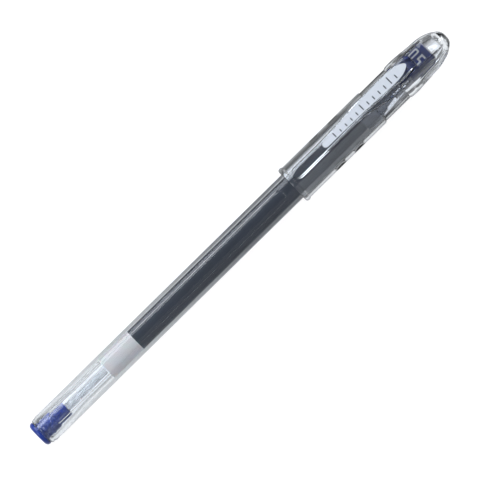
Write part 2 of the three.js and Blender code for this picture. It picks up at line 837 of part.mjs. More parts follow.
const PIECES = [
  ["barrel", barrel(), MILKY],
  ["tail_plug", tailPlug(), BLUE],
  ["vent_tube", ventTube(), { color: 0xe4e8ec, roughness: 0.35, metalness: 0 }],
  ["follower_grease", followerGrease(), { color: 0xccd3d8, roughness: 0.5, metalness: 0 }],
  ["ink_column", inkColumn(), { color: 0x1e2333, roughness: 0.4, metalness: 0 }],
  ["nib_holder", nibHolder(), { color: 0xdfe5ea, roughness: 0.12, metalness: 0 }],
  ["check_ball", ball(CHECK_BALL_X, CHECK_BALL_R, 8), STEEL],
  ["tip_body", tipBody(), { color: 0xc8c2b0, roughness: 0.3, metalness: 1 }],
  ["writing_ball", ball(WRITING_BALL_X, WRITING_BALL_R, 8), { ...STEEL, color: 0x8f9398 }],
  ["cap_tube", capTube(), CLEAR],
  ["cap_inner_sleeve", innerSleeve(), { ...CLEAR, color: 0xe3e8ec }],
  ["cap_crown", capCrown(), CLEAR],
  ["crown_insert", crownInsert(), BLUE],
  ["size_digit_zero", digitZero(), WHITE],
  ["size_point", decimalPoint(), WHITE],
  ["size_digit_five", digitFive(), WHITE],
  ["clip", clip(), CLEAR],
  ["clip_label", geometryOf(solidOf(label())), WHITE],
];

const pen = new THREE.Group();
pen.name = "gel_pen";
for (const [name, geometry, look] of PIECES) {
  const mesh = new THREE.Mesh(geometry, new THREE.MeshStandardMaterial(look));
  mesh.name = name;
  mesh.position.z = AXIS_Z;
  pen.add(mesh);
}

export default pen;
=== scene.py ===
"""Looks of a capped gel pen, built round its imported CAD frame. Metres, the row's own frame."""

import math

import bmesh
import bpy
from mathutils import Matrix, Vector


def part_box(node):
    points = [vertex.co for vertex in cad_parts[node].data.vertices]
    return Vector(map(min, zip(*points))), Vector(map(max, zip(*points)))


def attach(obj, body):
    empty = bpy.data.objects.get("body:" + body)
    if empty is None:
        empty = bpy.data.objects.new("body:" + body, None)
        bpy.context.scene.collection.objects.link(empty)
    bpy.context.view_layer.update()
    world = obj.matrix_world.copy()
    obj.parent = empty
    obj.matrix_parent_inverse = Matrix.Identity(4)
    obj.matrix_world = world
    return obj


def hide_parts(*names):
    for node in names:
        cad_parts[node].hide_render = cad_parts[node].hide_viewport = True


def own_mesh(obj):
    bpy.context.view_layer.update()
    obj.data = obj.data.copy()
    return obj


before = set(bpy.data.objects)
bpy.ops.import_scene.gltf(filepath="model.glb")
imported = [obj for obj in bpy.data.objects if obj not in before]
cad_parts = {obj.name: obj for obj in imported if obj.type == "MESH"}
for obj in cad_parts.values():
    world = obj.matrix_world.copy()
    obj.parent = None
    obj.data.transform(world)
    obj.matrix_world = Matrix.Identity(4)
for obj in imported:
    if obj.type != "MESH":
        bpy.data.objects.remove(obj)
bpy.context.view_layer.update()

MM = 0.001
ROUND = 144  # facets round the large turned pieces
ROUND_FINE = 64  # facets round the thin ones

# Camera: where it stands and how the pen lies in the picture
CAMERA_ELEVATION = 74.0
PEN_SLANT = 44.48
CAMERA_DISTANCE = 1.6
PICTURE_WIDTH = 125.2 * MM
SENSOR_WIDTH = 36.0
PICTURE_SHIFT = (0.486 * MM, 1.074 * MM)  # the pen's middle from the picture's middle, right and up

CLEAR_BOUNCES = 32  # enough to pass the cap, its sleeve and the barrel

# Paper floor: nearly white to the camera, mostly by an even glow of its own, so shadows on it are faint
FLOOR_SIZE = 3.0
PAPER_COLOR = (0.2, 0.2, 0.2, 1)
PAPER_ROUGHNESS = 0.9
PAPER_GLOW = 0.93

# Light table below the paper floor, which the clear parts bend into view. It is fully bright where the
# rays that meet it lean between the inner two of these angles across the pen, fades to its sides
# over the outer ones, and its sides are darker towards the cap
TABLE_SIZE = 6.0
TABLE_DROP = 150 * MM
TABLE_LEANS = (-29, -19, 34, 42)
TABLE_SIDE_LIGHT = (0.75, 0.16)
TABLE_SIDE_X = (-70 * MM, 0 * MM)
TABLE_COLOR = (0.94, 0.97, 1.0, 1)

# Lamps, each with its place, size and brightness, and the surroundings, dark below and paler above
LIGHT_TINT = (0.87, 0.93, 1.0)
SOFTBOXES = {
    "far_softbox": ((-0.05, 0.5, 0.5), (0.9, 0.5), 4.4),
    "near_softbox": ((0.05, -0.62, 0.36), (0.9, 0.8), 0.55),
    "end_softbox": ((0.75, 0.0, 0.45), (0.3, 0.5), 5.5),
    "tail_softbox": ((-0.75, 0.0, 0.45), (0.3, 0.5), 5.5),
}
WORLD_RAMP = ((0.1, (0.02, 0.02, 0.025, 1)), (0.9, (0.24, 0.26, 0.29, 1)))

# Sizes that the frame gives
barrel_low, barrel_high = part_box("barrel")
AXIS_Z = (barrel_low.z + barrel_high.z) / 2
BARREL_R = (barrel_high.z - barrel_low.z) / 2
TAIL_X = barrel_low.x
NOSE_X = barrel_high.x
plug_low, plug_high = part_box("tail_plug")
vent_low, vent_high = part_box("vent_tube")
grease_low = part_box("follower_grease")[0]
ink_low, ink_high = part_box("ink_column")
holder_low, holder_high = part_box("nib_holder")
tip_low, tip_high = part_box("tip_body")
tube_low, tube_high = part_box("cap_tube")
sleeve_low, sleeve_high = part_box("cap_inner_sleeve")
crown_low, crown_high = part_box("cap_crown")
insert_low, insert_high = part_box("crown_insert")
clip_low, clip_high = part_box("clip")
label_low, label_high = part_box("clip_label")

# Bores and walls
BORE_R = (ink_high.y - ink_low.y) / 2 + 0.04 * MM
WET = 0.02 * MM  # how far ink, grease and a pressed-in stem reach into the wall, so that no air shows
TAIL_BORE_R = 2.7 * MM
TAIL_BORE_X = TAIL_X + 5.2 * MM
TAPER_END_X = TAIL_X + 14.0 * MM
NOSE_BORE_R = 2.6 * MM
NOSE_BORE_X = NOSE_X - 4.95 * MM
TIP_SEAT_R = 1.18 * MM
TIP_END_X = tip_low.x - 0.05 * MM
CAP_BORE_R = 4.34 * MM
RING_R = (tube_high.y - tube_low.y) / 2
CAP_R = 5.35 * MM
NECK_R = 5.06 * MM
MOUTH_X = tube_low.x
RING_END_X = MOUTH_X + 1.51 * MM
NECK_X = NOSE_X


# ---------- mesh helpers ----------


def finish_mesh(name, verts, faces, body, slot, material, *nodes, sharp=35):
    """A mesh object with outward faces, smooth but for its sharp edges, on a body and for CAD nodes."""
    mesh = bpy.data.meshes.new(name)
    mesh.from_pydata(verts, [], faces)
    obj = bpy.data.objects.new(name, mesh)
    bpy.context.collection.objects.link(obj)
    settle(obj, sharp)
    dress(obj, body, slot, material, *nodes)
    return obj


def settle(obj, sharp):
    """Merges doubles, turns the faces outward and smooths the shading except across sharp edges."""
    work = bmesh.new()
    work.from_mesh(obj.data)
    bmesh.ops.remove_doubles(work, verts=work.verts, dist=1e-7)
    bmesh.ops.recalc_face_normals(work, faces=work.faces)
    limit = math.radians(sharp)
    for face in work.faces:
        face.smooth = True
    for edge in work.edges:
        edge.smooth = len(edge.link_faces) != 2 or edge.calc_face_angle(0) < limit
    work.to_mesh(obj.data)
    work.free()


def dress(obj, body, slot, material, *nodes):
    obj.data.materials.clear()
    obj.data.materials.append(material)
    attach(obj, body)
    if nodes:
        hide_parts(*nodes)


def filleted(points, radius, steps=3, closed=True):
    """The outline with each corner rounded by up to that radius. Ends of an open outline stay as they are."""
    count = len(points)
    result = []
    for i, here in enumerate(points):
        if not closed and i in (0, count - 1):
            result.append(here)
            continue
        p = Vector(here)
        a = Vector(points[i - 1]) - p
        b = Vector(points[(i + 1) % count]) - p
        reach = min(radius, 0.45 * a.length, 0.45 * b.length)
        turn = math.pi - a.angle(b)
        if turn < math.radians(12) or reach < 1e-6:
            result.append(here)
            continue
        start = p + a.normalized() * reach
        end = p + b.normalized() * reach
        for k in range(steps + 1):
            t = k / steps
            q = start * (1 - t) ** 2 + p * 2 * t * (1 - t) + end * t * t
            result.append((q.x, q.y))
    return result


def lathe(profile, segments=ROUND, closed=True, shape=None):
    """Vertices and faces of a piece turned about the pen's axis.

    profile is [(x, radius)], and shape(x, radius, angle) may give each point another radius.
    """
    verts = []
    faces = []
    count = len(profile)
    for x, r in profile:
        for k in range(segments):
            angle = 2 * math.pi * k / segments
            rr = shape(x, r, angle) if shape else r
            verts.append((x, rr * math.sin(angle), AXIS_Z + rr * math.cos(angle)))
    for i in range(count if closed else count - 1):
        j = (i + 1) % count
        for k in range(segments):
            n = (k + 1) % segments
            faces.append((i * segments + k, j * segments + k, j * segments + n, i * segments + n))
    return verts, faces


def capped_lathe(profile, segments=ROUND, shape=None):
    """As lathe, for an outline whose two ends lie on the axis."""
    verts, faces = lathe(profile[1:-1], segments, closed=False, shape=shape)
    first = len(verts)
    verts += [(profile[0][0], 0, AXIS_Z), (profile[-1][0], 0, AXIS_Z)]
    last_ring = (len(profile) - 3) * segments
    for k in range(segments):
        n = (k + 1) % segments
        faces.append((first, k, n))
        faces.append((first + 1, last_ring + n, last_ring + k))
    return verts, faces


def loft(sections):
    """A closed skin through outlines of equal length."""
    verts = [p for section in sections for p in section]
    size = len(sections[0])
    faces = []
    for i in range(len(sections) - 1):
        for j in range(size):
            n = (j + 1) % size
            faces.append((i * size + j, (i + 1) * size + j, (i + 1) * size + n, i * size + n))
    faces.append(tuple(range(size)))
    faces.append(tuple(range((len(sections) - 1) * size, len(sections) * size)))
    return verts, faces


def plate_xz(outline, half):
    """A plate with its outline in the X-Z plane (z from the axis), reaching half to each side."""
    return loft([[(x, y, AXIS_Z + z) for x, z in outline] for y in (-half, half)])


def solid(verts, faces):
    """A bare closed mesh object for boolean work."""
    mesh = bpy.data.meshes.new("work")
    mesh.from_pydata(verts, [], faces)
    obj = bpy.data.objects.new("work", mesh)
    bpy.context.collection.objects.link(obj)
    settle(obj, 35)
    return obj


def combine(base, other, operation):
    """Joins or cuts base by other, and removes other."""
    modifier = base.modifiers.new("cut", "BOOLEAN")
    modifier.operation = operation
    modifier.solver = "EXACT"
    modifier.object = other
    apply_modifiers(base)
    bpy.data.objects.remove(other)
    return base


def apply_modifiers(obj):
    bpy.context.view_layer.update()
    evaluated = obj.evaluated_get(bpy.context.evaluated_depsgraph_get())
    mesh = bpy.data.meshes.new_from_object(evaluated)
    obj.modifiers.clear()
    obj.data = mesh


def bevelled(obj, width, segments=2, angle=35):
    modifier = obj.modifiers.new("bevel", "BEVEL")
    modifier.width = width
    modifier.segments = segments
    modifier.limit_method = "ANGLE"
    modifier.angle_limit = math.radians(angle)
    apply_modifiers(obj)
    return obj


def spread(a, b, count):
    return [a + (b - a) * i / count for i in range(count + 1)]


def smooth_curve(pairs):
    """A smooth function through [(x, value)] pairs, flat beyond its ends."""
    xs = [p[0] for p in pairs]
    vs = [p[1] for p in pairs]
    slopes = []
    for i in range(len(pairs)):
        low, high = max(i - 1, 0), min(i + 1, len(pairs) - 1)
        slopes.append((vs[high] - vs[low]) / (xs[high] - xs[low]))

    def value(x):
        if x <= xs[0]:
            return vs[0]
        if x >= xs[-1]:
            return vs[-1]
        i = next(k for k in range(1, len(xs)) if xs[k] >= x) - 1
        span = xs[i + 1] - xs[i]
        t = (x - xs[i]) / span
        ends = vs[i] * (1 - t) ** 2 * (1 + 2 * t) + vs[i + 1] * t * t * (3 - 2 * t)
        return ends + slopes[i] * span * t * (1 - t) ** 2 - slopes[i + 1] * span * t * t * (1 - t)

    return value


def smoothstep(low, high, x):
    t = min(1.0, max(0.0, (x - low) / (high - low)))
    return t * t * (3 - 2 * t)


# ---------- materials ----------


WET_GLOSS = 0.05  # the plastic round ink and grease hides nearly all of their gloss
# Painted shade: the cap's clear plastic is tinted dark at glancing angles, which draws dark outlines along
# its edges
EDGE_SHADE_SPAN = (0.5, 0.8)  # glancing angles over which the cap's plastic darkens, from facing 0 to edge on 1
CAP_EDGE_SHADE = (0.01, 0.012, 0.02)


def material(name):
    made = bpy.data.materials.new(name)
    made.use_nodes = True
    return made, made.node_tree, made.node_tree.nodes["Principled BSDF"]


def map_range(tree, value, source, target):
    node = tree.nodes.new("ShaderNodeMapRange")
    node.inputs["From Min"].default_value, node.inputs["From Max"].default_value = source
    node.inputs["To Min"].default_value, node.inputs["To Max"].default_value = target
    tree.links.new(value, node.inputs["Value"])
    return node


def object_coords(tree, scale):
    coords = tree.nodes.new("ShaderNodeTexCoord")
    mapping = tree.nodes.new("ShaderNodeMapping")
    mapping.inputs["Scale"].default_value = scale
    tree.links.new(coords.outputs["Object"], mapping.inputs["Vector"])
    return mapping.outputs["Vector"]


def noise_texture(tree, scale, detail, stretch=(1, 1, 1)):
    noise = tree.nodes.new("ShaderNodeTexNoise")
    noise.inputs["Scale"].default_value = scale
    noise.inputs["Detail"].default_value = detail
    tree.links.new(object_coords(tree, stretch), noise.inputs["Vector"])
    return noise.outputs["Fac"]


def ranged(tree, noise, low, high):
    """A noise texture's usual values stretched from low to high."""
    return map_range(tree, noise, (0.3, 0.7), (low, high)).outputs["Result"]


def tinted(tree, shader, factor, first, second):
    mix = tree.nodes.new("ShaderNodeMix")
    mix.data_type = "RGBA"
    mix.inputs["A"].default_value = (*first, 1)
    mix.inputs["B"].default_value = (*second, 1)
    tree.links.new(factor, mix.inputs["Factor"])
    tree.links.new(mix.outputs["Result"], shader.inputs["Base Color"])


def bumped(tree, shader, height, strength, distance):
    bump = tree.nodes.new("ShaderNodeBump")
    bump.inputs["Strength"].default_value = strength
    bump.inputs["Distance"].default_value = distance
    tree.links.new(height, bump.inputs["Height"])
    tree.links.new(bump.outputs["Normal"], shader.inputs["Normal"])


def shade_edges(tree, shader, edge_shade):
    """Glass tinted dark where it is met at a glancing angle: painted shade that draws dark outlines along its
    edges.
    """
    body = shader.inputs["Base Color"].links[0].from_socket
    weight = tree.nodes.new("ShaderNodeLayerWeight")
    share = map_range(tree, weight.outputs["Facing"], EDGE_SHADE_SPAN, (0, 1))
    mix = tree.nodes.new("ShaderNodeMix")
    mix.data_type = "RGBA"
    mix.inputs["B"].default_value = (*edge_shade, 1)
    tree.links.new(share.outputs["Result"], mix.inputs["Factor"])
    tree.links.new(body, mix.inputs["A"])
    tree.links.new(mix.outputs["Result"], shader.inputs["Base Color"])


def clear_plastic(name, tint, dark, ior, rough, transmission=1.0, ripple=0.03, edge_shade=None):
    """Moulded clear plastic: slight flow ripples, a faint haze and fine handling marks in its gloss, and,
    when asked, painted shade that darkens it at glancing angles.
    """
    made, tree, shader = material(name)
    shader.inputs["Transmission Weight"].default_value = transmission
    shader.inputs["IOR"].default_value = ior
    flow = noise_texture(tree, 320, 3, (0.25, 1, 1))
    tinted(tree, shader, ranged(tree, flow, 0, 1), dark, tint)
    if edge_shade:
        shade_edges(tree, shader, edge_shade)
    marks = noise_texture(tree, 2600, 5, (0.12, 1, 1))
    tree.links.new(ranged(tree, marks, rough * 0.6, rough * 1.5), shader.inputs["Roughness"])
    bumped(tree, shader, flow, ripple, 0.2 * MM)
    return made


def solid_plastic(name, tint, dark, rough, coat=0.25):
    """Opaque moulded plastic: faint colour drift and a fine moulded grain."""
    made, tree, shader = material(name)
    shader.inputs["Coat Weight"].default_value = coat
    shader.inputs["Coat Roughness"].default_value = 0.12
    drift = noise_texture(tree, 500, 3)
    tinted(tree, shader, ranged(tree, drift, 0, 1), dark, tint)
    grain = noise_texture(tree, 9000, 3)
    tree.links.new(ranged(tree, grain, rough * 0.8, rough * 1.25), shader.inputs["Roughness"])
    bumped(tree, shader, grain, 0.12, 0.02 * MM)
    return made


def gel(name, tint, dark, rough, transmission=0.0, subsurface=0.0):
    """Ink or grease: soft streaks along the bore."""
    made, tree, shader = material(name)
    shader.inputs["Transmission Weight"].default_value = transmission
    shader.inputs["Subsurface Weight"].default_value = subsurface
    shader.inputs["Subsurface Scale"].default_value = 0.6 * MM
    shader.inputs["Specular IOR Level"].default_value = WET_GLOSS
    streaks = noise_texture(tree, 420, 4, (0.06, 1, 1))
    tinted(tree, shader, ranged(tree, streaks, 0, 1), dark, tint)
    tree.links.new(ranged(tree, streaks, rough * 0.8, rough * 1.2), shader.inputs["Roughness"])
    bumped(tree, shader, streaks, 0.015, 0.05 * MM)
    return made


def metal(name, tint, dark, rough):
    """Turned metal: fine rings round the axis."""
    made, tree, shader = material(name)
    shader.inputs["Metallic"].default_value = 1.0
    rings = noise_texture(tree, 2200, 4, (6, 0.3, 0.3))
    tinted(tree, shader, ranged(tree, rings, 0, 1), dark, tint)
    tree.links.new(ranged(tree, rings, rough * 0.7, rough * 1.4), shader.inputs["Roughness"])
    bumped(tree, shader, rings, 0.15, 0.01 * MM)
    return made


def scattering(made, tint, density):
    """Milkiness: light scatters evenly inside the plastic."""
    tree = made.node_tree
    volume = tree.nodes.new("ShaderNodeVolumeScatter")
    volume.inputs["Color"].default_value = (*tint, 1)
    volume.inputs["Density"].default_value = density
    tree.links.new(volume.outputs["Volume"], tree.nodes["Material Output"].inputs["Volume"])


MILKY = clear_plastic("milky_barrel", (0.96, 0.975, 0.99), (0.93, 0.955, 0.98), 1.49, 0.05, 1.0, 0.001)
scattering(MILKY, (0.86, 0.93, 1.0), 38.0)
# The cap's plastic carries painted shade at glancing angles, for dark outlines along its edges
CLEAR = clear_plastic("clear_cap", (0.985, 0.99, 1.0), (0.96, 0.97, 0.985), 1.57, 0.03, 1.0, 0.008, CAP_EDGE_SHADE)
SLEEVE = clear_plastic("clear_sleeve", (0.95, 0.96, 0.98), (0.92, 0.93, 0.96), 1.49, 0.08)
HOLDER = clear_plastic("clear_holder", (0.2, 0.225, 0.29), (0.15, 0.17, 0.23), 1.49, 0.12, 0.5)
VENT = clear_plastic("milky_tube", (0.97, 0.975, 0.98), (0.93, 0.94, 0.96), 1.49, 0.25, 0.75)
BLUE = solid_plastic("blue_plastic", (0.006, 0.034, 0.28), (0.005, 0.026, 0.21), 0.35, 0.1)
WHITE = solid_plastic("print_white", (0.93, 0.93, 0.94), (0.88, 0.89, 0.91), 0.45, 0.1)
LABEL = solid_plastic("label_white", (0.6, 0.61, 0.64), (0.565, 0.58, 0.61), 0.4, 0.1)
PRINT = solid_plastic("print_dark", (0.02, 0.022, 0.035), (0.012, 0.013, 0.02), 0.5, 0.1)
INK = gel("ink", (0.03, 0.035, 0.05), (0.022, 0.026, 0.038), 0.35)
GREASE = gel("grease", (0.9, 0.86, 0.85), (0.84, 0.81, 0.8), 0.5, 0.1, 0.3)
STEEL = metal("bright_steel", (0.62, 0.63, 0.65), (0.5, 0.51, 0.53), 0.18)
CARBIDE = metal("carbide", (0.3, 0.31, 0.33), (0.24, 0.25, 0.27), 0.2)
NICKEL = metal("nickel_silver", (0.6, 0.56, 0.48), (0.48, 0.45, 0.38), 0.28)


# ---------- pen body ----------

BARREL_FACETS = 360  # fine, for the panel's edges
PANEL_TURN = math.radians(-12)
PANEL_X0 = TAIL_X + 3.8 * MM
PANEL_X1 = TAIL_X + 88.8 * MM
PANEL_HALF = 1.95 * MM
PANEL_DEPTH = 0.16 * MM
PANEL_EDGE = 0.16 * MM


def panel_sink(x, angle):
    """How far the panel lies below the barrel's round surface at this place."""
    across = abs(math.remainder(angle - PANEL_TURN, 2 * math.pi)) * BARREL_R
    middle = (PANEL_X0 + PANEL_X1) / 2
    along = max(0.0, abs(x - middle) - (PANEL_X1 - PANEL_X0) / 2 + PANEL_HALF)
    inside = PANEL_HALF - math.hypot(across, along)
    return PANEL_DEPTH * smoothstep(0, PANEL_EDGE, inside)


def barrel_shape(x, r, angle):
    return r - panel_sink(x, angle) if r > BARREL_R - 0.01 * MM else r


def make_barrel():
    end_rings = []
    for edge, way in ((PANEL_X0, 1), (PANEL_X1, -1)):
        end_rings += [(edge + way * s, BARREL_R) for s in spread(-0.1 * MM, PANEL_HALF + 0.3 * MM, 16)]
    outside = [
        (TAIL_X, 3.55 * MM),
        (TAIL_X + 0.35 * MM, 3.92 * MM),
        (TAIL_X + 0.85 * MM, 4.0 * MM),
        (TAIL_X + 1.1 * MM, 3.9 * MM),
        (TAIL_X + 1.45 * MM, 4.1 * MM),
        (TAIL_X + 1.8 * MM, BARREL_R),
    ]
    nose = [(NOSE_X - 0.35 * MM, BARREL_R), (NOSE_X, 3.9 * MM), (NOSE_X, NOSE_BORE_R)]
    bore = [
        (NOSE_BORE_X, NOSE_BORE_R),
        (NOSE_BORE_X, BORE_R),
        (TAPER_END_X, BORE_R),
        (TAIL_BORE_X, TAIL_BORE_R),
        (TAIL_X, TAIL_BORE_R),
    ]
    corners = filleted(outside + sorted(end_rings) + nose + bore, 0.3 * MM)
    verts, faces = lathe(corners, BARREL_FACETS, shape=barrel_shape)
    finish_mesh("barrel_shell", verts, faces, "pen", "milky_barrel", MILKY, "barrel", sharp=50)


def make_plug():
    start = plug_low.x
    flange_r = (plug_high.y - plug_low.y) / 2
    face_x = TAIL_X - 0.05 * MM
    core = 2.5 * MM
    rib = TAIL_BORE_R - 0.02 * MM
    step_x = TAIL_X + 5.25 * MM
    end_x = plug_high.x
    post = 2.2 * MM
    vent = 0.4 * MM
    socket = 1.17 * MM
    socket_x = vent_low.x - 0.05 * MM
    corner = 0.95 * MM
    edge = [
        (start + corner * (1 - math.sin(a)), flange_r - corner * (1 - math.cos(a)))
        for a in (math.radians(d) for d in range(90, -1, -10))
    ]
    ribs = []
    for rib_x in (TAIL_X + 1.0 * MM, TAIL_X + 2.8 * MM):
        ribs += [
            (rib_x - 0.35 * MM, core),
            (rib_x - 0.1 * MM, rib),
            (rib_x + 0.1 * MM, rib),
            (rib_x + 0.35 * MM, core),
        ]
    outline = [
        (start, vent),
        *edge,
        (face_x, flange_r),
        (face_x, core),
        *ribs,
        (step_x - 0.25 * MM, core),
        (step_x, core - 0.25 * MM),
        (step_x, post),
        (end_x - 0.2 * MM, post),
        (end_x, post - 0.2 * MM),
        (end_x, socket),
        (socket_x, socket),
        (socket_x, vent),
    ]
    verts, faces = lathe(filleted(outline, 0.1 * MM, 2), 96)
    finish_mesh("plug_body", verts, faces, "pen", "blue_plastic", BLUE, "tail_plug")


def make_vent_tube():
    outer = (vent_high.y - vent_low.y) / 2
    inner = 0.6 * MM
    outline = [(vent_low.x, outer), (vent_high.x, outer), (vent_high.x, inner), (vent_low.x, inner)]
    verts, faces = lathe(filleted(outline, 0.12 * MM), ROUND_FINE)
    finish_mesh("vent_pipe", verts, faces, "pen", "milky_tube", VENT, "vent_tube")


MENISCUS_DEPTH = 0.55 * MM


def meniscus(edge_x):
    """The bulging boundary of ink and grease, from the bore's wall to the axis."""
    return [(edge_x - MENISCUS_DEPTH * t * (2 - t), (BORE_R + WET) * (1 - t)) for t in spread(0, 1, 8)]


def make_grease():
    wall = BORE_R + WET
    rear = [(grease_low.x + 0.35 * MM * (1 - t * t), wall * t) for t in spread(0, 1, 6)]
    front = meniscus(ink_low.x + MENISCUS_DEPTH)
    verts, faces = capped_lathe(rear + front, 72)
    finish_mesh("grease_slug", verts, faces, "follower", "grease", GREASE, "follower_grease")


def make_ink():
    """The ink's rear end, which moves with the grease, and its column, which shortens towards the nose."""
    wall = BORE_R + WET
    split_x = ink_low.x + MENISCUS_DEPTH + 0.1 * MM
    rear = list(reversed(meniscus(ink_low.x + MENISCUS_DEPTH + 0.01 * MM)))
    verts, faces = capped_lathe(rear + [(split_x, wall), (split_x, 0)], 72)
    finish_mesh("ink_rear", verts, faces, "follower", "ink", INK)
    column = [
        (split_x, 0),
        (split_x, wall),
        (NOSE_X - 0.9 * MM, wall),
        (NOSE_X + 0.45 * MM, 0.58 * MM),
        (ink_high.x, 0.55 * MM),
        (ink_high.x, 0),
    ]
    verts, faces = capped_lathe(column, 72)
    ink = finish_mesh("ink_fill", verts, faces, "pen", "ink", INK, "ink_column")
    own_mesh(ink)


# ---------- front section ----------


def make_holder():
    x = NOSE_X
    outline = [
        (holder_low.x, NOSE_BORE_R + WET),
        (x + 0.05 * MM, NOSE_BORE_R + WET),
        (x + 0.05 * MM, 3.7 * MM),
        (x + 0.7 * MM, 3.7 * MM),
        (x + 1.0 * MM, 3.35 * MM),
        (x + 2.4 * MM, 3.1 * MM),
        (x + 2.7 * MM, 2.75 * MM),
        (x + 6.7 * MM, 1.95 * MM),
        (x + 6.9 * MM, 1.8 * MM),
        (holder_high.x - 0.3 * MM, 1.65 * MM),
        (holder_high.x, 1.45 * MM),
        (holder_high.x, TIP_SEAT_R),
        (TIP_END_X, TIP_SEAT_R),
        (TIP_END_X, 1.0 * MM),
        (x + 1.7 * MM, 1.0 * MM),
        (x + 1.3 * MM, 0.6 * MM),
        (x + 0.5 * MM, 0.6 * MM),
        (x - 0.8 * MM, BORE_R),
        (holder_low.x, BORE_R),
    ]
    verts, faces = lathe(filleted(outline, 0.12 * MM), 96)
    finish_mesh("front_section", verts, faces, "pen", "clear_holder", HOLDER, "nib_holder")


def make_point():
    shank = (tip_high.y - tip_low.y) / 2
    x = tip_high.x
    ball_seat = 0.285 * MM
    ink_hole = 0.15 * MM
    bore = 0.5 * MM
    outline = [
        (tip_low.x, shank),
        (x - 1.43 * MM, shank),
        (x - 1.28 * MM, 1.02 * MM),
        (x - 0.23 * MM, 0.48 * MM),
        (x, 0.37 * MM),
        (x, ball_seat),
        (x - 0.38 * MM, ball_seat),
        (x - 0.38 * MM, ink_hole),
        (x - 0.88 * MM, ink_hole),
        (x - 1.28 * MM, bore),
        (tip_low.x, bore),
    ]
    verts, faces = lathe(filleted(outline, 0.05 * MM, 2), ROUND_FINE)
    finish_mesh("metal_point", verts, faces, "pen", "nickel_silver", NICKEL, "tip_body")


def make_ball(name, node, body, slot, look):
    low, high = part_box(node)
    middle = (low.x + high.x) / 2
    radius = (high.x - low.x) / 2
    half = [(middle - radius * math.cos(a), radius * math.sin(a)) for a in spread(0, math.pi, 20)]
    verts, faces = capped_lathe(half, 40)
    finish_mesh(name, verts, faces, body, slot, look, node)


# ---------- cap ----------

DIMPLES_X = (MOUTH_X + 12.85 * MM, MOUTH_X + 19.6 * MM)
DIMPLE_LONG = 1.9 * MM
DIMPLE_TALL = 1.45 * MM
DIMPLE_DEPTH = 0.45 * MM


def dimple_sink(x, r, angle):
    rise = r * math.cos(angle)
    deepest = 0.0
    for middle in DIMPLES_X:
        edge = ((x - middle) / DIMPLE_LONG) ** 2 + (rise / DIMPLE_TALL) ** 2
        deepest = max(deepest, DIMPLE_DEPTH * (1 - edge))
    return deepest


def cap_shape(x, r, angle):
    return r - dimple_sink(x, r, angle) if abs(r - CAP_R) < 0.01 * MM else r


def make_cap_tube():
    rings = []
    for middle in DIMPLES_X:
        rings += [(x, CAP_R) for x in spread(middle - DIMPLE_LONG * 1.03, middle + DIMPLE_LONG * 1.03, 18)]
    outline = [
        (MOUTH_X, 5.2 * MM),
        (MOUTH_X + 0.25 * MM, 5.5 * MM),
        (MOUTH_X + 0.6 * MM, RING_R),
        (RING_END_X - 0.5 * MM, RING_R),
        (RING_END_X - 0.15 * MM, 5.5 * MM),
        (RING_END_X, CAP_R),
        *rings,
        (NECK_X - 0.2 * MM, CAP_R),
        (NECK_X, NECK_R),
        (tube_high.x, NECK_R),
        (tube_high.x, CAP_BORE_R),
        (MOUTH_X + 0.4 * MM, CAP_BORE_R),
        (MOUTH_X, CAP_BORE_R + 0.3 * MM),
    ]
    verts, faces = lathe(filleted(outline, 0.18 * MM), 180, shape=cap_shape)
    finish_mesh("cap_shell", verts, faces, "cap", "clear_cap", CLEAR, "cap_tube", sharp=45)


def make_sleeve():
    x0, x1 = sleeve_low.x, sleeve_high.x
    outer = (sleeve_high.y - sleeve_low.y) / 2
    outline = [
        (x1 - 0.45 * MM, 0),
        (x1 - 0.45 * MM, 1.2 * MM),
        (x1 - 0.65 * MM, 1.35 * MM),
        (x1 - 2.75 * MM, 1.35 * MM),
        (x1 - 3.65 * MM, 3.1 * MM),
        (x0 + 0.3 * MM, 3.9 * MM),
        (x0, 4.05 * MM),
        (x0, outer),
        (x0 + 6.4 * MM, outer),
        (x0 + 6.4 * MM, 3.62 * MM),
        (x0 + 8.5 * MM, 3.62 * MM),
        (x0 + 9.4 * MM, 1.9 * MM),
        (x1 - 0.2 * MM, 1.9 * MM),
        (x1, 1.7 * MM),
        (x1, 0),
    ]
    verts, faces = capped_lathe(filleted(outline, 0.15 * MM, closed=False), 96)
    finish_mesh("sleeve_shell", verts, faces, "cap_inner", "clear_sleeve", SLEEVE, "cap_inner_sleeve")


FLUTES = 20
FLUTE_DEPTH = 0.24 * MM
CROWN_X = crown_high.x
FLUTE_START = CROWN_X - 13.7 * MM
FLUTE_TOP_START = CROWN_X - 7.5 * MM
FLUTE_TOP_ANGLE = math.radians(50)
FLUTE_END = CROWN_X - 2.1 * MM


def crown_shape(x, r, angle):
    """Hollow flutes along the dome, meeting in sharp ridges, that fade out at both ends.

    Beside the flat-topped ridge they start nearer to the tip.
    """
    share = (angle * FLUTES / (2 * math.pi)) % 1
    hollow = 1 - (2 * share - 1) ** 2
    beside_ridge = abs(math.remainder(angle, 2 * math.pi)) < FLUTE_TOP_ANGLE
    start = FLUTE_TOP_START if beside_ridge else FLUTE_START
    fade = smoothstep(start, start + 2.5 * MM, x) * (1 - smoothstep(FLUTE_END - 1 * MM, FLUTE_END, x))
    return r - FLUTE_DEPTH * hollow * fade * min(1.0, r / (4 * MM))


def from_tip(pairs):
    """Points of the dome, given as millimetres back from its tip and radius."""
    return [(CROWN_X - back * MM, r * MM) for back, r in pairs]


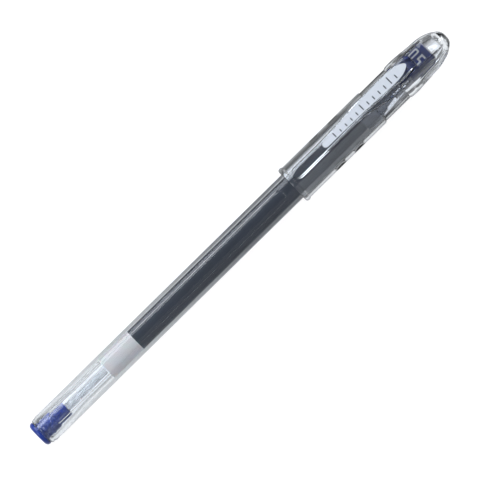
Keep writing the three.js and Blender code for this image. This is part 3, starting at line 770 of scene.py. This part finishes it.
DOME = smooth_curve(
    from_tip(
        (
            (17.75, 5.08),
            (17.2, 5.3),
            (15.0, 5.38),
            (13.5, 5.3),
            (12.0, 5.16),
            (9.5, 4.92),
            (7.0, 4.78),
            (5.5, 4.58),
            (4.2, 4.24),
            (3.0, 3.8),
            (2.1, 3.35),
        )
    )
)
DOME_TIP = from_tip(((1.95, 3.2), (1.4, 2.86), (1.0, 2.6), (0.4, 1.95), (0.1, 1.35), (0, 0.8), (0, 0)))
CAVITY = from_tip(((16.0, 3.78), (14.5, 4.1), (8.5, 4.0), (6.0, 3.6), (3.9, 2.7), (2.2, 1.5), (2.2, 0)))
RIDGE_NOSE = from_tip(
    ((6.1, 5.5), (5.4, 5.46), (4.9, 5.3), (4.3, 5.03), (3.7, 4.7), (3.2, 4.3), (2.9, 3.9), (2.9, 3.0))
)
RIDGE_HALF = 2.5 * MM
FOOT_HALF = 1.95 * MM
FOOT_BASE = 5 * MM
FOOT_TOP = 6.2 * MM
STOP_STEPS = ((0, 7.4), (0.4, 7.3), (0.75, 7.05), (1.05, 6.65), (1.35, 6.1), (1.6, 5.3), (1.6, 5))


def make_crown_body():
    """Dome, ridge, foot of the clip, stop and spigot in one solid."""
    x0 = tube_high.x + 0.05 * MM
    wall = [(x, DOME(x)) for x in spread(x0, FLUTE_END, 48)]
    crown = solid(*capped_lathe([(x0, 0)] + wall + DOME_TIP, FLUTES * 8, shape=crown_shape))
    ridge_back = [(x0, 3 * MM), (x0, 5.05 * MM), (x0 + 0.6 * MM, 5.5 * MM)]
    ridge = solid(*plate_xz(ridge_back + RIDGE_NOSE, RIDGE_HALF))
    bevelled(ridge, 0.3 * MM, 3, 30)
    stop_x = clip_high.x + 0.1 * MM
    foot_x = (x0 + 0.85 * MM, stop_x + 0.5 * MM)
    foot = [(foot_x[0], FOOT_BASE), (foot_x[0], FOOT_TOP), (foot_x[1], FOOT_TOP), (foot_x[1], FOOT_BASE)]
    stop = [(stop_x, FOOT_BASE)] + [(stop_x + d * MM, z * MM) for d, z in STOP_STEPS]
    spigot_r = CAP_BORE_R - 0.04 * MM
    spigot_end = x0 + 1 * MM
    spigot = [(crown_low.x, 0), (crown_low.x, spigot_r), (spigot_end, spigot_r), (spigot_end, 0)]
    combine(crown, ridge, "UNION")
    combine(crown, solid(*plate_xz(foot, FOOT_HALF)), "UNION")
    combine(crown, solid(*plate_xz(stop, FOOT_HALF)), "UNION")
    return combine(crown, solid(*capped_lathe(spigot)), "UNION")


def make_crown():
    crown = make_crown_body()
    open_x = crown_low.x - 1 * MM
    hollow = filleted([(open_x, 0), (open_x, CAVITY[0][1])] + CAVITY, 0.8 * MM, 5, closed=False)
    combine(crown, solid(*capped_lathe(hollow, 96)), "DIFFERENCE")
    combine(crown, solid(*insert_prism(open_x, insert_high.x + POCKET_GAP, POCKET_GAP)), "DIFFERENCE")
    crown.name = "crown_shell"
    settle(crown, 28)
    dress(crown, "cap", "clear_cap", CLEAR, "cap_crown")


POCKET_GAP = 0.1 * MM
INSERT_TOP = insert_high.z - AXIS_Z
INSERT_BOTTOM = insert_low.z - AXIS_Z
INSERT_MIDDLE = (INSERT_TOP + INSERT_BOTTOM) / 2
INSERT_SECTION = (
    (INSERT_TOP, 2.0 * MM),
    (3.6 * MM, 2.25 * MM),
    (0.8 * MM, 2.75 * MM),
    (-1.0 * MM, 2.75 * MM),
    (INSERT_BOTTOM, 2.2 * MM),
)
BLOCK_LONG = 8.1 * MM  # without the tongue
LUG_TIP = (insert_low.x + 0.6 * MM, 0.75 * MM, 1.15 * MM)
LUG_ROOT = (insert_low.x + 4.5 * MM, 0.2 * MM, 1.7 * MM)
LUG_INNER = 2.45 * MM
LUG_OUTER = 3.3 * MM


def insert_prism(x0, x1, gap=0.0):
    """The insert's section drawn out along x, grown by a gap on every side."""
    flank = [(math.copysign(gap, z - INSERT_MIDDLE) + z, half + gap) for z, half in INSERT_SECTION]
    outline = [(half, z) for z, half in flank] + [(-half, z) for z, half in reversed(flank)]
    return loft([[(x, y, AXIS_Z + z) for y, z in outline] for x in (x0, x1)])


def insert_lug():
    """The key on one side of the insert's front end, narrowing towards the pen's tail."""
    sections = []
    for x, low, high in (LUG_TIP, LUG_ROOT):
        corners = ((LUG_INNER, low), (LUG_INNER, high), (LUG_OUTER, high), (LUG_OUTER, low))
        sections.append([(x, y, AXIS_Z + z) for y, z in corners])
    return loft(sections)


def make_insert():
    x1 = insert_high.x
    x0 = x1 - BLOCK_LONG
    tongue_x = insert_low.x
    tongue_root_x = tongue_x + 1.2 * MM
    under = INSERT_TOP - 0.95 * MM
    outline = [
        (x0, INSERT_BOTTOM),
        (x0, under),
        (tongue_root_x, under),
        (tongue_x, INSERT_TOP - 0.3 * MM),
        (tongue_x, INSERT_TOP),
        (x1, INSERT_TOP),
        (x1, 2.6 * MM),
        (x1 - 0.6 * MM, 0.8 * MM),
        (x1 - 1.8 * MM, -1.0 * MM),
        (x1 - 2.6 * MM, INSERT_BOTTOM),
    ]
    block = solid(*plate_xz(outline, LUG_OUTER))
    combine(block, solid(*insert_prism(tongue_x, x1)), "INTERSECT")
    combine(block, solid(*insert_lug()), "UNION")
    bevelled(block, 0.1 * MM, 2, 30)
    block.name = "insert_block"
    settle(block, 35)
    dress(block, "cap", "blue_plastic", BLUE, "crown_insert")


# ---------- clip ----------

CLIP_X0 = clip_low.x
CLIP_X1 = clip_high.x


def at_clip(*pairs):
    """A smooth curve whose places are millimetres from the clip's free end."""
    return smooth_curve([(CLIP_X0 + x * MM, v * MM) for x, v in pairs])


CLIP_TOP = at_clip(
    (0, 5.95), (2.2, 6.3), (6.7, 6.32), (11, 6.4), (15.9, 7.0), (25.1, 7.9), (33.7, 7.75), (41.7, 7.5)
)
CLIP_UNDER = at_clip(
    (0, 5.6), (2.2, 5.44), (6.7, 5.44), (11, 5.55), (15.9, 6.0), (25.1, 6.75), (33.7, 6.5), (41.7, 6.3)
)
CLIP_HALF = at_clip((0, 1.55), (11, 1.5), (19.7, 1.65), (29.7, 1.95), (36.7, 2.15), (41.7, 2.1))
LABEL_HALF = at_clip((11, 0.95), (15.9, 1.15), (25.1, 1.5), (33.7, 1.8), (36.7, 1.82), (38.7, 1.6))
# How far the clip's two sides reach down as skirts, and how much they lean out for that
SKIRT_DROP = at_clip((20.7, 0), (25.7, 0.7), (30.7, 2.0), (34.2, 2.35), (36.3, 2.2))
SKIRT_LEAN = 0.36
SKIRT_WALL = 0.375 * MM
SKIRT_END = CLIP_X0 + 36.4 * MM


def clip_section(x):
    """The clip's outline across: a flat top with rounded edges, and sides that lean out to its skirts."""
    tip = min(1.0, (x - CLIP_X0) / (1.9 * MM))
    rounding = math.sqrt(max(0.02, 1 - (1 - tip) ** 2))
    half = CLIP_HALF(x) * rounding
    top = CLIP_TOP(x)
    drop = SKIRT_DROP(x) if x < SKIRT_END else 0
    under = CLIP_UNDER(x) - drop
    lean = (0.3 * MM + drop * SKIRT_LEAN) * rounding
    edge = 0.28 * MM * min(1, rounding * 1.5)
    side = [(half + lean, under), (half, top - edge)]
    for a in (30, 60, 90):
        t = math.radians(a)
        side.append((half - edge + edge * math.cos(t), top - edge + edge * math.sin(t)))
    right = [(x, y, AXIS_Z + z) for y, z in side]
    left = [(x, -y, AXIS_Z + z) for y, z in reversed(side)]
    return right + left


def make_clip():
    stations = [CLIP_X0 + d * MM for d in (0, 0.08, 0.2, 0.4, 0.7, 1.1, 1.5, 1.9, 2.5)]
    stations += spread(CLIP_X0 + 3.2 * MM, SKIRT_END - 0.05 * MM, 60)
    stations += [SKIRT_END, CLIP_X0 + 38 * MM, CLIP_X0 + 40 * MM, CLIP_X1]
    clip = solid(*loft([clip_section(x) for x in stations]))
    hollow = []
    low = 2.5 * MM
    for x in spread(CLIP_X0 + 22.2 * MM, CLIP_X0 + 36.6 * MM, 20):
        half = CLIP_HALF(x) - SKIRT_WALL
        roof = CLIP_UNDER(x)
        lean = SKIRT_LEAN * (roof - low) - 0.2 * MM
        corners = [(-half - lean, low), (-half, roof), (half, roof), (half + lean, low)]
        hollow.append([(x, y, AXIS_Z + z) for y, z in corners])
    combine(clip, solid(*loft(hollow)), "DIFFERENCE")
    over_cap = CAP_R + 0.07 * MM
    over_neck = NECK_R + 0.15 * MM
    over_crown = 5.6 * MM
    past_x = CLIP_X1 + 2 * MM
    clearance = [
        (MOUTH_X, 0),
        (MOUTH_X, over_cap),
        (NECK_X, over_cap),
        (NECK_X, over_neck),
        (tube_high.x - 0.2 * MM, over_neck),
        (tube_high.x + 0.5 * MM, over_crown),
        (past_x, over_crown),
        (past_x, 0),
    ]
    combine(clip, solid(*capped_lathe(clearance)), "DIFFERENCE")
    clip.name = "clip_blade"
    settle(clip, 28)
    dress(clip, "clip", "clear_cap", CLEAR, "clip")


LABEL_X0 = label_low.x
LABEL_X1 = label_high.x
LABEL_RISE = 0.045 * MM
LABEL_SINK = 0.1 * MM
PRINT_RISE = 0.055 * MM


def label_half(x):
    tail = min(1.0, (x - LABEL_X0) / (0.95 * MM))
    front = min(1.0, max(0.0, (LABEL_X1 - x) / (2.6 * MM)))
    return LABEL_HALF(x) * math.sqrt(max(0.002, 1 - (1 - tail) ** 2)) * math.sqrt(max(0.002, front))


def make_label():
    stations = [LABEL_X0 + d * MM for d in (0, 0.03, 0.1, 0.2, 0.35, 0.55, 0.75, 0.95)]
    stations += spread(LABEL_X0 + 1.5 * MM, LABEL_X1 - 2.8 * MM, 50)
    stations += [LABEL_X1 - d * MM for d in (2.4, 2.0, 1.6, 1.2, 0.8, 0.5, 0.3, 0.12, 0.03, 0)]
    sections = []
    for x in stations:
        half = label_half(x)
        low = AXIS_Z + CLIP_TOP(x) - LABEL_SINK
        high = AXIS_Z + CLIP_TOP(x) + LABEL_RISE
        sections.append([(x, -half, low), (x, -half, high), (x, half, high), (x, half, low)])
    verts, faces = loft(sections)
    finish_mesh("clip_field", verts, faces, "clip", "label_white", LABEL, "clip_label")


SCALE_START = 4.2 * MM
SCALE_STEP = 2.0 * MM
SCALE_COUNT = 12
SCALE_STROKE = 0.32 * MM
SCALE_LONG, SCALE_SHORT, SCALE_MARGIN = 0.62, 0.34, 0.16  # shares of the field's width


def make_scale():
    """A plain ruler-like scale printed along the white field."""
    verts = []
    faces = []
    for k in range(SCALE_COUNT):
        x = LABEL_X0 + SCALE_START + k * SCALE_STEP
        room = label_half(x) * 2
        length = room * (SCALE_LONG if k % 5 == 0 else SCALE_SHORT)
        y1 = -label_half(x) + room * SCALE_MARGIN
        low = len(verts)
        for px in (x - SCALE_STROKE / 2, x + SCALE_STROKE / 2):
            top = AXIS_Z + CLIP_TOP(px)
            for y in (y1, y1 + length):
                verts += [(px, y, top), (px, y, top + PRINT_RISE)]
        a, b, c, d = (low + 2 * i for i in range(4))
        faces += [
            (a + 1, b + 1, d + 1, c + 1),
            (a, c, d, b),
            (a, b, b + 1, a + 1),
            (c, c + 1, d + 1, d),
            (a, a + 1, c + 1, c),
            (b, d, d + 1, b + 1),
        ]
    finish_mesh("field_scale", verts, faces, "clip", "label_white", PRINT)


# ---------- scene ----------


def stage_plane(name, size, height):
    bpy.ops.mesh.primitive_plane_add(size=size, location=(0, 0, height))
    plane = bpy.context.object
    plane.name = name
    look, tree, shader = material(name + "_look")
    plane.data.materials.append(look)
    return tree, shader


def make_floor():
    """A plain pale floor that lets the light table's light up through it."""
    tree, paper = stage_plane("floor", FLOOR_SIZE, 0)
    paper.inputs["Base Color"].default_value = PAPER_COLOR
    paper.inputs["Roughness"].default_value = PAPER_ROUGHNESS
    paper.inputs["Specular IOR Level"].default_value = 0.0
    paper.inputs["Emission Color"].default_value = (1, 1, 1, 1)
    paper.inputs["Emission Strength"].default_value = PAPER_GLOW
    open_floor = tree.nodes.new("ShaderNodeBsdfTransparent")
    path = tree.nodes.new("ShaderNodeLightPath")
    choose = tree.nodes.new("ShaderNodeMixShader")
    tree.links.new(path.outputs["Is Camera Ray"], choose.inputs["Fac"])
    tree.links.new(open_floor.outputs["BSDF"], choose.inputs[1])
    tree.links.new(paper.outputs["BSDF"], choose.inputs[2])
    tree.links.new(choose.outputs["Shader"], tree.nodes["Material Output"].inputs["Surface"])


def make_light_table():
    """A light table under the floor: even and bright below the pen, fading to both sides."""
    tree, surface = stage_plane("light_table", TABLE_SIZE, -TABLE_DROP)
    tree.nodes.remove(surface)
    coords = tree.nodes.new("ShaderNodeTexCoord")
    split = tree.nodes.new("ShaderNodeSeparateXYZ")
    tree.links.new(coords.outputs["Object"], split.inputs["Vector"])
    edges = [TABLE_DROP * math.tan(math.radians(lean)) for lean in TABLE_LEANS]
    far = map_range(tree, split.outputs["Y"], edges[0:2], (0, 1))
    near = map_range(tree, split.outputs["Y"], edges[2:4], (1, 0))
    middle = tree.nodes.new("ShaderNodeMath")
    middle.operation = "MULTIPLY"
    tree.links.new(far.outputs["Result"], middle.inputs[0])
    tree.links.new(near.outputs["Result"], middle.inputs[1])
    sides = map_range(tree, split.outputs["X"], TABLE_SIDE_X, TABLE_SIDE_LIGHT)
    level = map_range(tree, middle.outputs["Value"], (0, 1), (0, 1))
    tree.links.new(sides.outputs["Result"], level.inputs["To Min"])
    glow = tree.nodes.new("ShaderNodeEmission")
    glow.inputs["Color"].default_value = TABLE_COLOR
    tree.links.new(level.outputs["Result"], glow.inputs["Strength"])
    tree.links.new(glow.outputs["Emission"], tree.nodes["Material Output"].inputs["Surface"])


def make_world():
    world = bpy.data.worlds.new("studio")
    bpy.context.scene.world = world
    world.use_nodes = True
    tree = world.node_tree
    background = tree.nodes["Background"]
    coords = tree.nodes.new("ShaderNodeTexCoord")
    split = tree.nodes.new("ShaderNodeSeparateXYZ")
    ramp = tree.nodes.new("ShaderNodeValToRGB")
    for stop, (position, color) in zip(ramp.color_ramp.elements, WORLD_RAMP):
        stop.position = position
        stop.color = color
    tree.links.new(coords.outputs["Generated"], split.inputs["Vector"])
    tree.links.new(split.outputs["Z"], ramp.inputs["Fac"])
    tree.links.new(ramp.outputs["Color"], background.inputs["Color"])
    background.inputs["Strength"].default_value = 1.0


def softbox(name, place, size, radiance):
    """A rectangular lamp that faces the pen's middle."""
    light = bpy.data.lights.new(name, "AREA")
    light.shape = "RECTANGLE"
    light.size, light.size_y = size
    light.energy = radiance * math.pi * size[0] * size[1]
    light.color = LIGHT_TINT
    lamp = bpy.data.objects.new(name, light)
    bpy.context.collection.objects.link(lamp)
    lamp.location = place
    lamp.rotation_euler = (Vector((0, 0, AXIS_Z)) - Vector(place)).to_track_quat("-Z", "Y").to_euler()


def make_camera():
    camera = bpy.data.objects.new("camera", bpy.data.cameras.new("camera"))
    bpy.context.collection.objects.link(camera)
    tilt = math.radians(CAMERA_ELEVATION)
    slant = math.radians(PEN_SLANT)
    back = Vector((0, -math.cos(tilt), math.sin(tilt)))
    along = Vector((1, 0, 0))
    across = back.cross(along)
    right = along * math.cos(slant) - across * math.sin(slant)
    up = along * math.sin(slant) + across * math.cos(slant)
    target = Vector((0, 0, AXIS_Z)) - right * PICTURE_SHIFT[0] - up * PICTURE_SHIFT[1]
    pose = Matrix((right, up, back)).transposed().to_4x4()
    pose.translation = target + back * CAMERA_DISTANCE
    camera.matrix_world = pose
    camera.data.sensor_width = SENSOR_WIDTH
    camera.data.lens = SENSOR_WIDTH * CAMERA_DISTANCE / PICTURE_WIDTH
    camera.data.clip_end = 10
    bpy.context.scene.camera = camera


def make_view():
    scene = bpy.context.scene
    scene.view_settings.view_transform = "Standard"
    scene.cycles.max_bounces = CLEAR_BOUNCES
    scene.cycles.transmission_bounces = CLEAR_BOUNCES
    scene.cycles.transparent_max_bounces = CLEAR_BOUNCES
    scene.cycles.volume_bounces = 8
    scene.cycles.blur_glossy = 0.0  # or the clear plastic turns hazy for light that a white surface scatters


make_barrel()
make_plug()
make_vent_tube()
make_grease()
make_ink()
make_holder()
make_point()
make_ball("check_ball_round", "check_ball", "check_ball", "bright_steel", STEEL)
make_ball("writing_ball_round", "writing_ball", "writing_ball", "carbide", CARBIDE)
make_cap_tube()
make_sleeve()
make_crown()
make_insert()
for digit in ("size_digit_zero", "size_point", "size_digit_five"):
    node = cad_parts[digit]
    node.data.materials.clear()
    node.data.materials.append(WHITE)
make_clip()
make_label()
make_scale()
make_floor()
make_light_table()
make_world()
for lamp_name, (lamp_place, lamp_size, lamp_radiance) in SOFTBOXES.items():
    softbox(lamp_name, lamp_place, lamp_size, lamp_radiance)
make_camera()
make_view()
